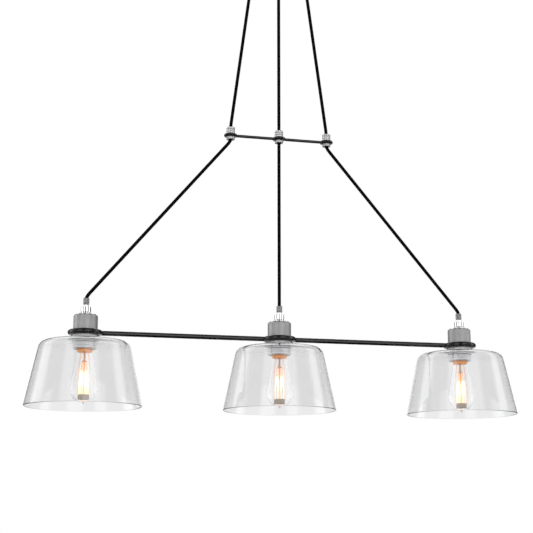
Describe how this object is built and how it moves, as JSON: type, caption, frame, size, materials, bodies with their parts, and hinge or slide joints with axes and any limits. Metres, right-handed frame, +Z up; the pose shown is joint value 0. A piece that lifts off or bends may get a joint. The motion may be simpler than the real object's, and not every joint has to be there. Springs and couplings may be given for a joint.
{
  "type": "linear island pendant",
  "caption": "Linear island pendant: clear glass shades in line under a hammered black bar, hung on black cords held apart by a spreader bar below a round canopy.",
  "frame": {"origin": "centre of the canopy's ceiling face", "axes": "+Z up into the ceiling, X along the lamp bar, +Y away from the front"},
  "size_m": [0.9734, 0.2194, 0.934],
  "materials": {
    "black_canopy": "matte black paint",
    "zinc_strap": "zinc plated",
    "brushed_nickel": "brushed nickel plating",
    "green_screw": "green plated",
    "black_cord": "matte black covered flex",
    "hammered_black": "hammered black",
    "polished_chrome": "polished",
    "satin_grey": "satin grey",
    "porcelain": "unglazed white porcelain",
    "brass_shell": "plain brass",
    "clear_glass": "clear",
    "polished_ring": "polished",
    "contact_metal": "tinned contact on dark glass",
    "copper_base": "copper tone",
    "bulb_glass": "clear",
    "glowing_filament": "glowing amber filament"
  },
  "bodies": {
    "ceiling_mount": {"ceiling_canopy": "black_canopy", "mounting_crossbar": "zinc_strap", "canopy_screw_front": "brushed_nickel", "canopy_screw_back": "brushed_nickel", "ground_screw": "green_screw", "canopy_grip_left": "brushed_nickel", "canopy_grip_centre": "brushed_nickel", "canopy_grip_right": "brushed_nickel", "grip_locknut_left": "zinc_strap", "grip_locknut_centre": "zinc_strap", "grip_locknut_right": "zinc_strap"},
    "upper_hanger": {"upper_cord_left": "black_cord", "upper_cord_centre": "black_cord", "upper_cord_right": "black_cord", "spreader_bar": "hammered_black", "cord_ferrule_left": "brushed_nickel", "cord_ferrule_centre": "brushed_nickel", "cord_ferrule_right": "brushed_nickel", "ferrule_nut_left": "brushed_nickel", "ferrule_nut_centre": "brushed_nickel", "ferrule_nut_right": "brushed_nickel"},
    "lower_hanger": {"lower_cord_left": "black_cord", "lower_cord_centre": "black_cord", "lower_cord_right": "black_cord"},
    "lamp_frame": {"lamp_bar": "hammered_black", "lamp_grip_left": "brushed_nickel", "socket_cap_left": "polished_chrome", "socket_cup_left": "satin_grey", "lampholder_left": "porcelain", "screw_shell_left": "brass_shell", "lamp_grip_centre": "brushed_nickel", "socket_cap_centre": "polished_chrome", "socket_cup_centre": "satin_grey", "lampholder_centre": "porcelain", "screw_shell_centre": "brass_shell", "lamp_grip_right": "brushed_nickel", "socket_cap_right": "polished_chrome", "socket_cup_right": "satin_grey", "lampholder_right": "porcelain", "screw_shell_right": "brass_shell"},
    "shade_left_glass": {"shade_left": "clear_glass"},
    "shade_left_ring": {"shade_ring_left": "polished_ring"},
    "bulb_left_tip": {"bulb_contact_left": "contact_metal"},
    "bulb_left": {"bulb_base_left": "copper_base", "bulb_envelope_left": "bulb_glass", "bulb_filament_left": "glowing_filament"},
    "shade_centre_glass": {"shade_centre": "clear_glass"},
    "shade_centre_ring": {"shade_ring_centre": "polished_ring"},
    "bulb_centre_tip": {"bulb_contact_centre": "contact_metal"},
    "bulb_centre": {"bulb_base_centre": "copper_base", "bulb_envelope_centre": "bulb_glass", "bulb_filament_centre": "glowing_filament"},
    "shade_right_glass": {"shade_right": "clear_glass"},
    "shade_right_ring": {"shade_ring_right": "polished_ring"},
    "bulb_right_tip": {"bulb_contact_right": "contact_metal"},
    "bulb_right": {"bulb_base_right": "copper_base", "bulb_envelope_right": "bulb_glass", "bulb_filament_right": "glowing_filament"}
  },
  "joints": [
    {"name": "swing_at_canopy", "type": "hinge", "parent": "ceiling_mount", "child": "upper_hanger", "pos_m": [0, 0, -0.045], "axis": [1, 0, 0], "range_deg": [-30, 30]},
    {"name": "swing_at_spreader", "type": "hinge", "parent": "upper_hanger", "child": "lower_hanger", "pos_m": [0, 0, -0.3937], "axis": [1, 0, 0], "range_deg": [-30, 30]},
    {"name": "rock_at_grips", "type": "hinge", "parent": "lower_hanger", "child": "lamp_frame", "pos_m": [0, 0, -0.729], "axis": [1, 0, 0], "range_deg": [-25, 25]},
    {"name": "shade_drop_left", "type": "slide", "parent": "lamp_frame", "child": "shade_left_glass", "axis": [0, 0, -1], "range_m": [0, 0.01]},
    {"name": "ring_turn_left", "type": "hinge", "parent": "shade_left_glass", "child": "shade_left_ring", "pos_m": [-0.377, 0, -0.82], "axis": [0, 0, -1], "range_deg": [0, 1801]},
    {"name": "bulb_drop_left", "type": "slide", "parent": "lamp_frame", "child": "bulb_left_tip", "axis": [0, 0, -1], "range_m": [0, 0.02172]},
    {"name": "bulb_turn_left", "type": "hinge", "parent": "bulb_left_tip", "child": "bulb_left", "pos_m": [-0.377, 0, -0.84], "axis": [0, 0, -1], "range_deg": [0, 2161]},
    {"name": "shade_drop_centre", "type": "slide", "parent": "lamp_frame", "child": "shade_centre_glass", "axis": [0, 0, -1], "range_m": [0, 0.01]},
    {"name": "ring_turn_centre", "type": "hinge", "parent": "shade_centre_glass", "child": "shade_centre_ring", "pos_m": [0, 0, -0.82], "axis": [0, 0, -1], "range_deg": [0, 1801]},
    {"name": "bulb_drop_centre", "type": "slide", "parent": "lamp_frame", "child": "bulb_centre_tip", "axis": [0, 0, -1], "range_m": [0, 0.02172]},
    {"name": "bulb_turn_centre", "type": "hinge", "parent": "bulb_centre_tip", "child": "bulb_centre", "pos_m": [0, 0, -0.84], "axis": [0, 0, -1], "range_deg": [0, 2161]},
    {"name": "shade_drop_right", "type": "slide", "parent": "lamp_frame", "child": "shade_right_glass", "axis": [0, 0, -1], "range_m": [0, 0.01]},
    {"name": "ring_turn_right", "type": "hinge", "parent": "shade_right_glass", "child": "shade_right_ring", "pos_m": [0.377, 0, -0.82], "axis": [0, 0, -1], "range_deg": [0, 1801]},
    {"name": "bulb_drop_right", "type": "slide", "parent": "lamp_frame", "child": "bulb_right_tip", "axis": [0, 0, -1], "range_m": [0, 0.02172]},
    {"name": "bulb_turn_right", "type": "hinge", "parent": "bulb_right_tip", "child": "bulb_right", "pos_m": [0.377, 0, -0.84], "axis": [0, 0, -1], "range_deg": [0, 2161]}
  ],
  "couplings": [
    {"joint": "ring_turn_left", "follows": "shade_drop_left", "rad_per_m": 3141.6},
    {"joint": "bulb_turn_left", "follows": "bulb_drop_left", "rad_per_m": 1735.7},
    {"joint": "ring_turn_centre", "follows": "shade_drop_centre", "rad_per_m": 3141.6},
    {"joint": "bulb_turn_centre", "follows": "bulb_drop_centre", "rad_per_m": 1735.7},
    {"joint": "ring_turn_right", "follows": "shade_drop_right", "rad_per_m": 3141.6},
    {"joint": "bulb_turn_right", "follows": "bulb_drop_right", "rad_per_m": 1735.7}
  ]
}
